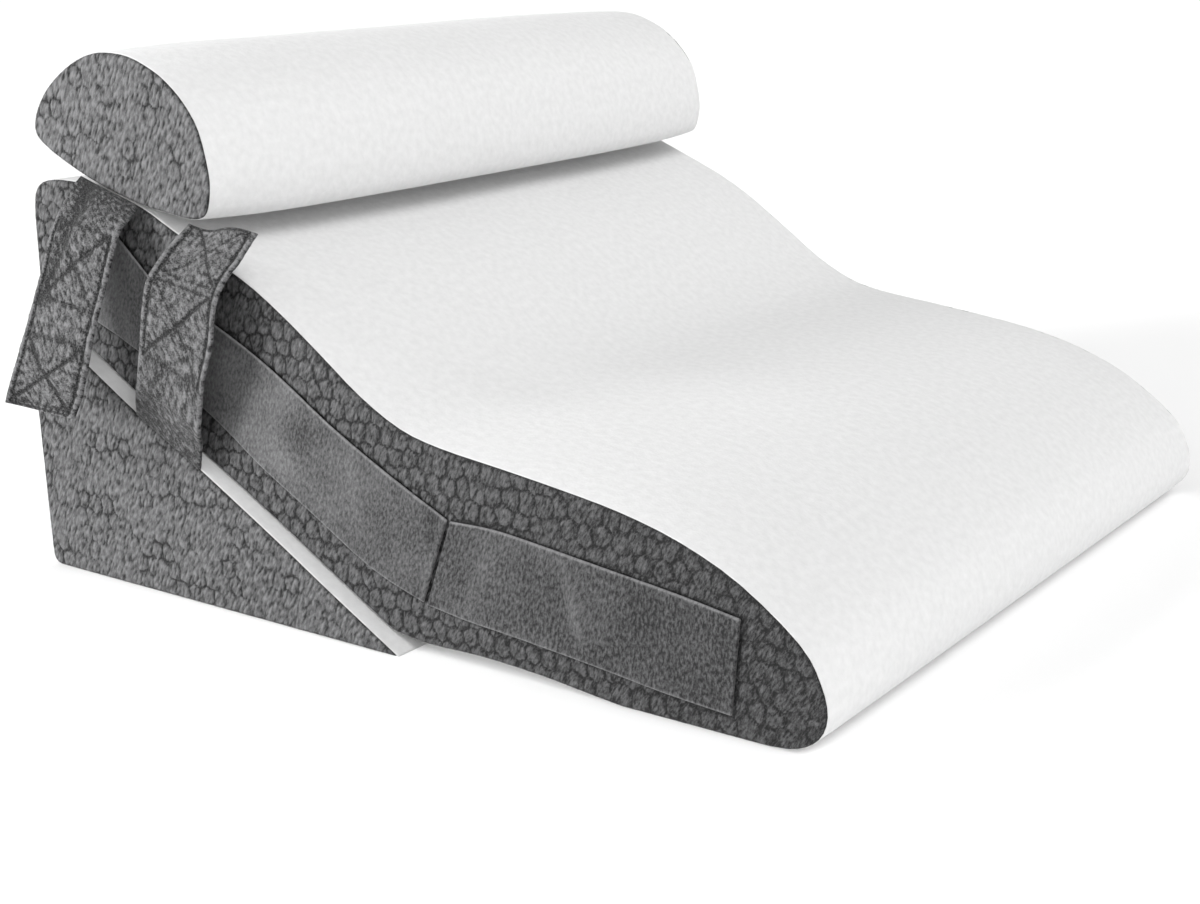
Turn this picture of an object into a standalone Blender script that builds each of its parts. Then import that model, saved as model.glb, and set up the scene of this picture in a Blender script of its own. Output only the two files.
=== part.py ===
"""Three-piece wedge pillow set: a wedge, a long contour cushion and a half-moon bolster.

The wedge lies on the floor, the contour cushion lies on its slant and reaches the
floor at the foot end, and the bolster lies on the contour's crest. Each cushion is one
filled solid with its crown and drawn-in rims. The grey side panels, the loop strips
and the straps are sheets of their own. +X runs from the head end to the foot end,
-Y is the near side, and the origin is on the floor, in the middle of the wedge's
underside.
"""
import math

import bmesh
import bpy
from mathutils import Vector

# Driving dimensions, in metres
MM = 0.001
CUSHION_WIDTH = 0.600
WEDGE_WIDTH = 0.630
ORIGIN_X = 0.170
SEWN_GAP = 0.3 * MM
REST_GAP = 0.5 * MM
PANEL_THICKNESS = 2.0 * MM
PANEL_INSET = 0.6 * MM
STRIP_THICKNESS = 1.5 * MM
STRAP_THICKNESS = 2.5 * MM
STRAP_COLUMNS = 8
STRAP_STEPS = 3
OUTLINE_STEPS = 3
ARC_STEPS = 4
CORNER_SHARE = 0.9
NEARBY = 0.01
SMOOTH = "smooth"

# How a cushion closes towards its side panel: distance in from the end of the filling,
# how far the outline is drawn in there, and the share of the crown, from 0 to 1.
RIM_ROWS = (
    # in_mm, drawn_mm, crown
    (0.0, 3.0, 0.00),
    (1.0, 1.2, 0.00),
    (3.0, 0.0, 0.00),
    (28.0, 0.0, 0.45),
    (80.0, 0.0, 0.80),
    (170.0, 0.0, 0.95),
)

# Side outlines, measured from the wedge's back and the floor. The bend is a corner's
# radius, or smooth where the outline runs through the point. The crown is how far
# the cushion stands prouder in the middle of its width.
SLANT_ROWS = (
    # x_mm, z_mm, bend, crown_mm
    (285.0, 38.0, SMOOTH, 0.0),
    (248.0, 59.5, SMOOTH, 0.0),
    (178.0, 98.5, SMOOTH, 0.0),
    (115.0, 131.5, SMOOTH, 0.0),
    (60.0, 163.5, SMOOTH, 0.0),
)
WEDGE_ROWS = (
    (0.0, 0.0, 8.0, 0.0),
    (352.0, 0.0, 0.0, 0.0),
    *SLANT_ROWS,
    (0.0, 199.0, 5.0, 0.0),
)
CONTOUR_ROWS = (
    (-1.5, 201.5, 0.0, 0.0),
    (335.0, 10.2, 12.0, 0.0),
    (366.0, 7.0, SMOOTH, 0.0),
    (410.0, 8.0, SMOOTH, 0.0),
    (457.0, 6.0, SMOOTH, 0.0),
    (490.0, 2.8, SMOOTH, 0.0),
    (520.0, 0.0, 30.0, 0.0),
    (624.0, 0.0, 10.0, 0.0),
    (643.0, 2.8, SMOOTH, 0.0),
    (657.0, 12.0, SMOOTH, 0.5),
    (662.5, 27.0, SMOOTH, 1.0),
    (658.0, 46.0, SMOOTH, 2.0),
    (644.0, 67.0, SMOOTH, 3.0),
    (605.0, 95.0, SMOOTH, 4.0),
    (564.0, 113.0, SMOOTH, 4.0),
    (522.0, 124.0, SMOOTH, 4.0),
    (478.0, 131.0, SMOOTH, 4.0),
    (432.0, 137.0, SMOOTH, 4.0),
    (383.0, 143.0, SMOOTH, 4.0),
    (350.0, 151.0, SMOOTH, 4.0),
    (317.0, 168.0, SMOOTH, 4.0),
    (283.0, 192.0, SMOOTH, 4.0),
    (248.0, 216.0, SMOOTH, 3.0),
    (213.0, 236.0, SMOOTH, 1.0),
    (151.0, 263.0, SMOOTH, 0.0),
    (120.0, 277.1, SMOOTH, 0.0),
    (82.0, 287.6, SMOOTH, 0.0),
    (45.0, 291.5, SMOOTH, 0.0),
    (20.0, 290.5, SMOOTH, 0.0),
    (6.5, 283.5, SMOOTH, 0.0),
    (1.5, 268.0, SMOOTH, 0.0),
    (0.0, 235.0, SMOOTH, 0.0),
)
BOLSTER_ROWS = (
    (22.0, 315.0, SMOOTH, 0.0),
    (36.0, 307.5, SMOOTH, 0.0),
    (60.0, 297.0, SMOOTH, 0.0),
    (85.0, 288.2, SMOOTH, 0.0),
    (120.0, 279.0, SMOOTH, 0.0),
    (145.0, 275.0, SMOOTH, 0.0),
    (168.0, 272.3, SMOOTH, 2.0),
    (179.0, 273.3, SMOOTH, 5.0),
    (186.0, 278.0, SMOOTH, 6.0),
    (190.0, 290.0, SMOOTH, 5.0),
    (190.5, 305.0, SMOOTH, 4.0),
    (184.0, 332.0, SMOOTH, 4.0),
    (172.0, 349.5, SMOOTH, 4.0),
    (158.0, 362.0, SMOOTH, 4.0),
    (143.0, 371.0, SMOOTH, 4.0),
    (120.0, 379.5, SMOOTH, 4.0),
    (96.0, 382.0, SMOOTH, 3.0),
    (78.0, 380.0, SMOOTH, 3.0),
    (59.0, 373.5, SMOOTH, 3.0),
    (40.0, 363.0, SMOOTH, 3.0),
    (25.0, 351.0, SMOOTH, 2.0),
    (14.0, 336.0, SMOOTH, 1.0),
    (12.5, 323.5, SMOOTH, 0.0),
)

# Loop strips on the contour's side, sewn end to end: the first follows the fall from
# the crest, the second follows the foot.
HEAD_STRIP_ROWS = (
    (50.0, 196.0, 2.0),
    (106.0, 174.0, SMOOTH),
    (181.0, 134.0, SMOOTH),
    (222.0, 107.0, SMOOTH),
    (272.0, 79.0, SMOOTH),
    (320.0, 52.0, SMOOTH),
    (366.0, 36.5, 2.0),
    (389.5, 96.5, 2.0),
    (341.0, 119.0, SMOOTH),
    (291.0, 145.0, SMOOTH),
    (242.0, 175.0, SMOOTH),
    (198.0, 197.0, SMOOTH),
    (125.0, 228.0, 12.0),
    (84.0, 264.0, 2.0),
)
FOOT_STRIP_ROWS = (
    (366.8, 35.9, 2.0),
    (401.0, 31.5, SMOOTH),
    (447.0, 28.0, SMOOTH),
    (506.0, 22.5, SMOOTH),
    (552.0, 17.5, SMOOTH),
    (601.5, 14.0, 2.0),
    (607.5, 75.0, 2.0),
    (565.0, 81.5, SMOOTH),
    (514.0, 87.5, SMOOTH),
    (463.0, 93.5, SMOOTH),
    (426.0, 97.0, SMOOTH),
    (390.6, 96.4, 2.0),
)

# Straps, a row for each section from the sewn end to the free end. A section is given
# by its head-side and foot-side edges; out is the distance beyond the wedge's side,
# bow how far its middle stands proud, and wave how much it ripples across.
BOLSTER_STRAP_ROWS = (
    # head_x, head_out, head_z, foot_x, foot_out, foot_z, bow, wave
    (62.0, -13.6, 295.8, 121.0, -13.6, 277.9, 0.0, 0.0),
    (59.0, -7.0, 288.0, 124.0, -4.5, 272.5, 2.0, 0.0),
    (57.0, 2.0, 274.0, 123.0, 5.5, 264.0, 4.0, 0.5),
    (53.0, 12.0, 254.0, 120.0, 13.0, 245.0, 3.0, 1.0),
    (50.0, 20.0, 231.0, 117.0, 20.5, 222.0, 1.0, 0.5),
    (47.0, 29.0, 207.0, 115.0, 28.5, 200.0, 1.5, -0.5),
    (45.0, 41.0, 179.0, 112.5, 36.0, 172.0, 2.0, -1.0),
    (44.0, 50.0, 160.0, 111.0, 41.5, 155.0, 1.0, -1.5),
    (43.5, 56.0, 144.0, 108.0, 49.0, 139.0, -1.0, -2.0),
)
WEDGE_STRAP_ROWS = (
    (113.0, -1.5, 133.1, 175.0, -1.5, 100.7, 0.0, 0.0),
    (120.0, 4.0, 144.0, 184.0, 4.0, 119.5, 1.0, 0.5),
    (127.5, 8.5, 158.0, 191.0, 10.0, 135.0, 2.0, 1.0),
    (141.0, 13.0, 189.0, 205.5, 15.5, 169.0, 2.0, 0.0),
    (150.0, 16.5, 212.0, 216.0, 15.5, 195.0, 2.0, -1.0),
    (156.0, 15.5, 234.0, 222.0, 15.5, 221.0, 3.0, 0.0),
    (161.0, 6.5, 247.5, 228.0, 9.5, 239.0, 3.0, 2.0),
    (165.5, -4.0, 260.0, 233.0, -2.5, 253.5, 1.5, 2.0),
    (168.0, -16.0, 269.3, 236.5, -14.0, 267.5, 0.0, 3.0),
)
# The far wedge strap falls over outwards and ends on the floor.
HANGING_STRAP_ROWS = (
    (113.0, -1.5, 133.1, 175.0, -1.5, 100.7, 0.0, 0.0),
    (114.5, 2.0, 138.0, 177.0, 2.0, 105.5, 0.0, 0.0),
    (112.5, 8.0, 136.5, 175.0, 8.0, 104.0, 0.5, 0.0),
    (108.5, 11.0, 127.0, 171.0, 11.0, 93.5, 1.0, 0.0),
    (96.0, 15.0, 103.5, 158.5, 16.0, 68.5, 2.0, 0.5),
    (82.0, 18.0, 78.0, 144.5, 20.0, 43.0, 2.0, 2.0),
    (70.0, 20.5, 54.5, 132.5, 25.5, 19.5, 1.5, 0.5),
    (59.5, 24.0, 31.5, 122.0, 37.0, 5.5, 0.5, 0.0),
    (51.0, 32.0, 13.0, 113.5, 54.0, 1.8, 0.0, 0.0),
    (40.0, 48.0, 2.6, 102.5, 74.0, 1.7, 0.0, 0.0),
)

WHITE_KNIT = (0.86, 0.86, 0.85)
GREY_KNIT = (0.115, 0.115, 0.12)
GREY_LOOP = (0.16, 0.16, 0.165)


# Clear the scene

def clear_scene():
    for thing in list(bpy.data.objects):
        bpy.data.objects.remove(thing, do_unlink=True)


# Outlines

def corner_arc(before, corner, after, radius):
    """Points of a rounded corner, or the corner itself where it has no radius."""
    to_before = (before - corner).normalized()
    to_after = (after - corner).normalized()
    half_angle = to_before.angle(to_after) / 2
    reach = radius / math.tan(half_angle)
    shorter_side = min((before - corner).length, (after - corner).length)
    if reach == 0 or reach > CORNER_SHARE * shorter_side:
        return [corner]
    inward = (to_before + to_after).normalized()
    centre = corner + inward * (radius / math.sin(half_angle))
    start = corner + to_before * reach - centre
    end = corner + to_after * reach - centre
    turn = start.angle_signed(end)
    points = []
    for step in range(ARC_STEPS + 1):
        angle = -turn * step / ARC_STEPS
        cosine, sine = math.cos(angle), math.sin(angle)
        points.append(centre + Vector((start.x * cosine - start.y * sine,
                                       start.x * sine + start.y * cosine)))
    return points


def smooth_point(before, start, end, after, t):
    """The point at share t of the Catmull-Rom span from start to end."""
    leave = (end - before) / 2
    arrive = (after - start) / 2
    return (start * (2 * t**3 - 3 * t**2 + 1) + leave * (t**3 - 2 * t**2 + t)
            + end * (3 * t**2 - 2 * t**3) + arrive * (t**3 - t**2))


def outline(rows):
    """Closed outline in metres, as (point, crown), from a table of rows in millimetres."""
    knots = []
    count = len(rows)
    for index, row in enumerate(rows):
        x, z, bend = row[:3]
        crown = row[3] if len(row) > 3 else 0.0
        here = Vector((x, z))
        if bend == SMOOTH:
            knots.append((here, crown, True))
            continue
        before = Vector(rows[index - 1][:2])
        after = Vector(rows[(index + 1) % count][:2])
        for point in corner_arc(before, here, after, bend):
            knots.append((point, crown, False))
    points = []
    count = len(knots)
    for index, (start, crown, smooth) in enumerate(knots):
        end, end_crown, end_smooth = knots[(index + 1) % count]
        if not smooth and not end_smooth:
            points.append((start, crown))
            continue
        before = knots[index - 1][0] if smooth else start
        after = knots[(index + 2) % count][0] if end_smooth else end
        for step in range(OUTLINE_STEPS):
            share = step / OUTLINE_STEPS
            points.append((smooth_point(before, start, end, after, share),
                           crown + (end_crown - crown) * share))
    return [(point * MM, crown * MM) for point, crown in points]


def outward(points):
    """For each point, the outward mitre: a unit move of both edges that meet there."""
    mitres = []
    count = len(points)
    for index, point in enumerate(points):
        arriving = (point - points[index - 1]).normalized()
        leaving = (points[(index + 1) % count] - point).normalized()
        normal_in = Vector((arriving.y, -arriving.x))
        normal_out = Vector((leaving.y, -leaving.x))
        mitres.append((normal_in + normal_out) / (1 + normal_in.dot(normal_out)))
    return mitres


# Building one object

def principled(name, colour, roughness):
    material = bpy.data.materials.new(name)
    material.use_nodes = True
    shader = material.node_tree.nodes["Principled BSDF"]
    shader.inputs["Base Color"].default_value = (*colour, 1.0)
    shader.inputs["Roughness"].default_value = roughness
    shader.inputs["Metallic"].default_value = 0.0
    return material


def add_object(name, data, collection, colour, roughness=0.9):
    data.materials.append(principled(f"{name}_cloth", colour, roughness))
    thing = bpy.data.objects.new(name, data)
    collection.objects.link(thing)
    return thing


def add_cushion(name, rows, width, collection):
    """A filled cushion: its outline swept across the width, drawn in at both rims."""
    profile = outline(rows)
    points = [point for point, crown in profile]
    mitres = outward(points)
    half = width / 2 - PANEL_THICKNESS - SEWN_GAP
    stations = [(-half + inward * MM, drawn * MM, crown) for inward, drawn, crown in RIM_ROWS]
    stations.append((0.0, 0.0, 1.0))
    stations += [(-place, drawn, crown) for place, drawn, crown in reversed(stations[:-1])]

    mesh = bpy.data.meshes.new(name)
    bm = bmesh.new()
    ring = [bm.verts.new((point.x - ORIGIN_X, 0.0, point.y)) for point in points]
    edges = [bm.edges.new((ring[index - 1], ring[index])) for index in range(len(ring))]
    bmesh.ops.edgeloop_fill(bm, edges=edges)
    steps = len(stations) - 1
    bmesh.ops.spin(bm, geom=bm.verts[:] + bm.edges[:] + bm.faces[:], cent=(0, 0, 0),
                   axis=(0, 1, 0), dvec=(0, 1, 0), angle=0, steps=steps, use_duplicate=False)
    nearest = {(round(point.x - ORIGIN_X, 6), round(point.y, 6)): index
               for index, point in enumerate(points)}
    for vert in bm.verts:
        index = nearest[(round(vert.co.x, 6), round(vert.co.z, 6))]
        place, drawn, crown = stations[round(vert.co.y)]
        push = profile[index][1] * crown - drawn
        moved = points[index] + mitres[index] * push
        vert.co = (moved.x - ORIGIN_X, place, moved.y)
    bmesh.ops.recalc_face_normals(bm, faces=bm.faces)
    bm.to_mesh(mesh)
    bm.free()
    return add_object(name, mesh, collection, WHITE_KNIT)


def add_flat_piece(name, points, thickness, face_y, side, collection, colour):
    """A flat sheet with the given outline, whose outer face lies at face_y."""
    curve = bpy.data.curves.new(name, "CURVE")
    curve.dimensions = "2D"
    curve.fill_mode = "BOTH"
    curve.extrude = thickness / 2
    spline = curve.splines.new("POLY")
    spline.points.add(len(points) - 1)
    for knot, point in zip(spline.points, points):
        knot.co = (point.x - ORIGIN_X, point.y, 0.0, 1.0)
    spline.use_cyclic_u = True
    thing = add_object(name, curve, collection, colour)
    thing.rotation_euler.x = math.radians(90)
    thing.location.y = side * (face_y - thickness / 2)
    return thing


def add_side_panels(name, ends, rows, width, collection):
    """The grey panels that close a cushion's two sides, a little inside its outline."""
    points = [point for point, crown in outline(rows)]
    mitres = outward(points)
    inset = [point - mitre * PANEL_INSET for point, mitre in zip(points, mitres)]
    for side, end in ends:
        add_flat_piece(f"{name}_{end}", inset, PANEL_THICKNESS, width / 2, side, collection,
                       GREY_KNIT)


def add_loop_strips(name, ends, rows, collection):
    """A loop strip on the outer face of each of the contour's side panels."""
    points = [point for point, crown in outline(rows)]
    face_y = CUSHION_WIDTH / 2 + SEWN_GAP + STRIP_THICKNESS
    for side, end in ends:
        add_flat_piece(f"{name}_{end}", points, STRIP_THICKNESS, face_y, side, collection,
                       GREY_LOOP)


def strap_section(rows, along):
    """The strap's section at a share of its length, smoothed between the table's rows."""
    place = along * (len(rows) - 1)
    index = min(int(place), len(rows) - 2)
    before = Vector(rows[max(index - 1, 0)])
    after = Vector(rows[min(index + 2, len(rows) - 1)])
    return smooth_point(before, Vector(rows[index]), Vector(rows[index + 1]), after,
                        place - index)


def strap_point(rows, side, across, along):
    """A point of the strap's middle surface, in metres."""
    section = strap_section(rows, along)
    head = Vector(section[0:3])
    foot = Vector(section[3:6])
    bow, wave = section[6:8]
    onward = -NEARBY if along > 0.5 else NEARBY
    run = (strap_section(rows, along + onward).xyz - head) / onward
    proud = (foot - head).cross(run).normalized()
    ripple = bow * 4 * across * (1 - across) + wave * math.sin(2 * math.pi * across)
    point = head.lerp(foot, across) + proud * ripple
    x, out, z = point
    return Vector((x * MM - ORIGIN_X, side * (WEDGE_WIDTH / 2 + out * MM), z * MM))


def add_strap(name, rows, side, collection):
    """A strap: a grid laid on the table's sections and given its thickness."""
    mesh = bpy.data.meshes.new(name)
    bm = bmesh.new()
    lines = (len(rows) - 1) * STRAP_STEPS
    bmesh.ops.create_grid(bm, x_segments=STRAP_COLUMNS, y_segments=lines, size=0.5)
    for vert in bm.verts:
        vert.co = strap_point(rows, side, vert.co.x + 0.5, vert.co.y + 0.5)
    bm.to_mesh(mesh)
    bm.free()
    thing = add_object(name, mesh, collection, GREY_KNIT)
    cloth = thing.modifiers.new("cloth", "SOLIDIFY")
    cloth.thickness = STRAP_THICKNESS
    cloth.offset = 0.0
    return thing


# The wedge pillow set

def contour_rows():
    """The contour's outline, with its underside lying along the wedge's slant."""
    lifted = [(x, z + REST_GAP / MM, bend, crown) for x, z, bend, crown in SLANT_ROWS]
    return (CONTOUR_ROWS[0], *reversed(lifted), *CONTOUR_ROWS[1:])


def build():
    clear_scene()
    collection = bpy.data.collections.new("wedge_pillow")
    bpy.context.scene.collection.children.link(collection)
    ends = ((-1, "near"), (1, "far"))

    add_cushion("wedge_cushion", WEDGE_ROWS, WEDGE_WIDTH, collection)
    add_cushion("contour_cushion", contour_rows(), CUSHION_WIDTH, collection)
    add_cushion("bolster_cushion", BOLSTER_ROWS, CUSHION_WIDTH, collection)

    add_side_panels("wedge_side", ends, WEDGE_ROWS, WEDGE_WIDTH, collection)
    add_side_panels("contour_side", ends, contour_rows(), CUSHION_WIDTH, collection)
    add_side_panels("bolster_end", ends, BOLSTER_ROWS, CUSHION_WIDTH, collection)

    add_loop_strips("head_loop_strip", ends, HEAD_STRIP_ROWS, collection)
    add_loop_strips("foot_loop_strip", ends, FOOT_STRIP_ROWS, collection)

    for side, end in ends:
        add_strap(f"bolster_strap_{end}", BOLSTER_STRAP_ROWS, side, collection)
    add_strap("wedge_strap_near", WEDGE_STRAP_ROWS, -1, collection)
    add_strap("wedge_strap_far", HANGING_STRAP_ROWS, 1, collection)


build()
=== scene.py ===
# The wedge pillow set dressed for its portrait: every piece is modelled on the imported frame.
import math
import random

import bmesh
import bpy
from mathutils import Matrix, Vector, kdtree, noise


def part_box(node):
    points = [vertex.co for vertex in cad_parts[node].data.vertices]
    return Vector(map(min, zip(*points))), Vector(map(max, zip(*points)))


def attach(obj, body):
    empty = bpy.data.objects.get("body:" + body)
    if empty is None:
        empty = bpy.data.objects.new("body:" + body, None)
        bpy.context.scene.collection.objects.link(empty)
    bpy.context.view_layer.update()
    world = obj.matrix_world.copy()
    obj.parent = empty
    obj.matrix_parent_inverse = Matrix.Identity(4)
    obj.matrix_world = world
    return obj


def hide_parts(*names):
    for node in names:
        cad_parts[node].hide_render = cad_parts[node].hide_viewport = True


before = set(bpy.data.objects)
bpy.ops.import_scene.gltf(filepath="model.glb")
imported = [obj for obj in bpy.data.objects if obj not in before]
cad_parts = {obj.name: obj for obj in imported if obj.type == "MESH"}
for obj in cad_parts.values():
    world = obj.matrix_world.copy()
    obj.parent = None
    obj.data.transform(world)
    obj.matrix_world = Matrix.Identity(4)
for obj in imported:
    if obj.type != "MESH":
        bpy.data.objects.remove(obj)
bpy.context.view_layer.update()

MM = 0.001


# The room: a pale seamless floor in a white studio. The camera stands where the photograph
# was taken, a little above the pile and off its foot corner. A low light from the head side
# grazes the grey sides, so the straps throw a soft shade towards the foot. A lamp close by
# lets the light fall off along the side, and a broad high light fills the tops.

def paint(hex_colour):
    """An sRGB hex colour as the linear red, green, blue and alpha that a shader takes."""
    channels = [int(hex_colour[place:place + 2], 16) / 255 for place in (1, 3, 5)]
    linear = [c / 12.92 if c <= 0.04045 else ((c + 0.055) / 1.055) ** 2.4 for c in channels]
    return (*linear, 1.0)


def add_node(tree, kind, inputs=(), **settings):
    """A node with its settings, whose inputs are values or other nodes' outputs."""
    node = tree.nodes.new(kind)
    for name, value in settings.items():
        setattr(node, name, value)
    for socket, value in dict(inputs).items():
        if isinstance(value, bpy.types.NodeSocket):
            tree.links.new(value, node.inputs[socket])
        else:
            node.inputs[socket].default_value = value
    return node


def new_material(name, **finish):
    """A Principled material with constant finish values; returns it, its tree and shader."""
    material = bpy.data.materials.new(name)
    material.use_nodes = True
    shader = material.node_tree.nodes["Principled BSDF"]
    for socket, value in finish.items():
        shader.inputs[socket.replace("_", " ")].default_value = value
    return material, material.node_tree, shader


def aim(thing, direction):
    """Turns a camera or lamp so that its own -Z looks along a direction."""
    thing.rotation_mode = "QUATERNION"
    thing.rotation_quaternion = Vector(direction).to_track_quat("-Z", "Y")


CAMERA_PLACE = Vector((0.95266, -1.12878, 0.45120))
CAMERA_AZIMUTH = math.radians(36.476)
CAMERA_HEIGHT_ANGLE = math.radians(15.803)
CAMERA_ROLL = math.radians(-1.409)
LENS_MM = 54.83
SENSOR_MM = 36.0
FLOOR_REACH = 30.0

camera = bpy.data.objects.new("camera", bpy.data.cameras.new("camera"))
bpy.context.scene.collection.objects.link(camera)
camera.data.sensor_width = SENSOR_MM
camera.data.lens = LENS_MM
backward = Vector((math.sin(CAMERA_AZIMUTH) * math.cos(CAMERA_HEIGHT_ANGLE),
                   -math.cos(CAMERA_AZIMUTH) * math.cos(CAMERA_HEIGHT_ANGLE),
                   math.sin(CAMERA_HEIGHT_ANGLE)))
level_turn = (-backward).to_track_quat("-Z", "Y").to_matrix()
camera.matrix_world = (Matrix.Translation(CAMERA_PLACE)
                       @ (level_turn @ Matrix.Rotation(CAMERA_ROLL, 3, "Z")).to_4x4())
bpy.context.scene.camera = camera

# Matt white studio paint.
floor_paint, tree, shader = new_material("pale_studio_floor", Roughness=0.9)
shader.inputs["Base Color"].default_value = paint("#FFFFFF")
floor_bm = bmesh.new()
bmesh.ops.create_grid(floor_bm, x_segments=1, y_segments=1, size=FLOOR_REACH)
floor_mesh = bpy.data.meshes.new("floor")
floor_bm.to_mesh(floor_mesh)
floor_bm.free()
floor_mesh.materials.append(floor_paint)
floor = bpy.data.objects.new("floor", floor_mesh)
bpy.context.scene.collection.objects.link(floor)

# The studio is white up to one height and has a grey ceiling from another. Both heights are
# the upward share of the direction looked in.
WHITE_UP_TO = 0.14
CEILING_FROM = 0.28
CEILING_GREY = 0.49

studio = bpy.data.worlds.new("white_studio")
studio.use_nodes = True
skyward = add_node(studio.node_tree, "ShaderNodeSeparateXYZ", {
    "Vector": add_node(studio.node_tree, "ShaderNodeTexCoord").outputs["Generated"]})
wall_to_ceiling = add_node(studio.node_tree, "ShaderNodeValToRGB", {"Fac": skyward.outputs["Z"]})
wall_to_ceiling.color_ramp.elements[0].position = WHITE_UP_TO
wall_to_ceiling.color_ramp.elements[0].color = (1.0, 1.0, 1.0, 1.0)
wall_to_ceiling.color_ramp.elements[1].position = CEILING_FROM
wall_to_ceiling.color_ramp.elements[1].color = (CEILING_GREY, CEILING_GREY, CEILING_GREY, 1.0)
studio.node_tree.links.new(wall_to_ceiling.outputs["Color"],
                           studio.node_tree.nodes["Background"].inputs["Color"])
bpy.context.scene.world = studio
bpy.context.scene.view_settings.view_transform = "Standard"


def add_sun(name, towards, strength, spread):
    """A far light that shines from a direction, with a spread in degrees."""
    sun = bpy.data.objects.new(name, bpy.data.lights.new(name, "SUN"))
    sun.data.energy = strength
    sun.data.angle = math.radians(spread)
    aim(sun, -Vector(towards))
    bpy.context.scene.collection.objects.link(sun)


add_sun("head_side_light", (-0.47, -0.87, 0.14), 3.0, 24.0)
add_sun("high_light", (0.62, -0.16, 0.77), 1.8, 40.0)

NEAR_LAMP_PLACE = Vector((-0.95, -1.25, 1.0))
NEAR_LAMP_TARGET = Vector((0.05, -0.3, 0.15))
NEAR_LAMP_SIZE = 0.3
NEAR_LAMP_WATTS = 8.0
near_lamp = bpy.data.objects.new("near_lamp", bpy.data.lights.new("near_lamp", "AREA"))
near_lamp.data.size = NEAR_LAMP_SIZE
near_lamp.data.energy = NEAR_LAMP_WATTS
near_lamp.location = NEAR_LAMP_PLACE
aim(near_lamp, NEAR_LAMP_TARGET - NEAR_LAMP_PLACE)
bpy.context.scene.collection.objects.link(near_lamp)


# The three cushions: slabs of firm foam in loose covers of white bubble knit. The cover is
# cut as one long panel that runs round the side outline. It rolls over the foam's edge into
# the seam with the grey side panel, where the sewing draws it in and puckers it.

WELD_DISTANCE = 0.02 * MM
SECTION_TOLERANCE = 0.001 * MM


def section(node, y):
    """The outline of a CAD node where the plane at y cuts it, as vectors across X and Z."""
    bm = bmesh.new()
    bm.from_mesh(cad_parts[node].data)
    bmesh.ops.remove_doubles(bm, verts=bm.verts, dist=WELD_DISTANCE)
    bmesh.ops.bisect_plane(bm, geom=bm.verts[:] + bm.edges[:] + bm.faces[:],
                           dist=SECTION_TOLERANCE, plane_co=(0, y, 0), plane_no=(0, 1, 0),
                           clear_inner=True, clear_outer=True)
    bmesh.ops.edgeloop_fill(bm, edges=bm.edges[:])
    face = max(bm.faces, key=lambda each: each.calc_area())
    points = [Vector((vert.co.x, vert.co.z)) for vert in face.verts]
    bm.free()
    doubled_area = sum(points[i - 1].cross(points[i]) for i in range(len(points)))
    return points if doubled_area > 0 else points[::-1]


SHARP_TURN = math.radians(35)


def fine_outline(points, spacing):
    """A smooth closed outline through the points, about evenly spaced, with its corners."""
    count = len(points)
    tangents = []
    for i, point in enumerate(points):
        before = point - points[i - 1]
        after = points[(i + 1) % count] - point
        if before.angle(after) > SHARP_TURN:
            tangents.append(Vector((0.0, 0.0)))
            continue
        reach = min(before.length, after.length)
        tangents.append((before.normalized() + after.normalized()).normalized() * reach)
    fine = []
    for i, start in enumerate(points):
        end = points[(i + 1) % count]
        leave, arrive = tangents[i], tangents[(i + 1) % count]
        steps = max(1, round((end - start).length / spacing))
        for step in range(steps):
            t = step / steps
            fine.append(start * (2 * t**3 - 3 * t**2 + 1) + leave * (t**3 - 2 * t**2 + t)
                        + end * (3 * t**2 - 2 * t**3) + arrive * (t**3 - t**2))
    return fine


def outward_normals(outline):
    """The unit normal at each point of a closed outline, pointing out of it."""
    normals = []
    for i in range(len(outline)):
        run = outline[(i + 1) % len(outline)] - outline[i - 1]
        normals.append(Vector((run.y, -run.x)).normalized())
    return normals


LEAST_FACING = 0.2


def room_inside(outline, normals, limit):
    """How far each point may be drawn in before it meets the far side, up to a limit. Points
    that lie nearly beside it, with less than LEAST_FACING of the gap inward, don't count."""
    rooms = []
    for point, normal in zip(outline, normals):
        room = limit
        for other in outline:
            gap = other - point
            inward = -gap.dot(normal)
            if 0 < inward < 2 * room and inward > LEAST_FACING * gap.length:
                room = min(room, gap.length_squared / (2 * inward))
        rooms.append(room)
    return rooms


def search_tree(points):
    """A search tree over an outline's points, in the plane of X and Z."""
    tree = kdtree.KDTree(len(points))
    for i, point in enumerate(points):
        tree.insert((point.x, 0.0, point.y), i)
    tree.balance()
    return tree


def finish_mesh(bm, name, material):
    """Turns a bmesh into a smooth piece of the scene that rides on the part."""
    mesh = bpy.data.meshes.new(name)
    bmesh.ops.recalc_face_normals(bm, faces=bm.faces)
    bm.to_mesh(mesh)
    bm.free()
    mesh.materials.append(material)
    mesh.shade_smooth()
    piece = bpy.data.objects.new(name, mesh)
    bpy.context.scene.collection.objects.link(piece)
    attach(piece, "root")
    return piece


# The cover's rolled rim in mm, from the seam outwards and then back along the cushion: how
# far it stands proud of the foam's side, and how far it is drawn in from the outline. The
# near side's seams lie flatter, under the edge of the grey panel.
ROLLED_RIM_MM = ((0.0, 1.05), (1.1, 1.0), (1.6, 0.75), (1.6, 0.4), (1.1, 0.12), (0.2, 0.02),
                 (-1.5, 0.0), (-4.0, 0.0), (-8.0, 0.0), (-13.0, 0.0), (-19.0, 0.0))
NEAR_RIM_SHARE = 0.12
COVER_STEP = 7.5 * MM
OUTLINE_STEP = 5.0 * MM
CROWN_REACH = 50.0 * MM
LEAST_CROWN = 0.3 * MM
SEAM_SECTION_IN = 3.0 * MM
CROWN_STEP = 1.0 * MM
MOST_ROOM = 12.0 * MM
DRAWN_SHARE = 0.4
UPWARD_FROM = -0.25
PUCKER_DEPTH = 0.9 * MM
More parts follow.
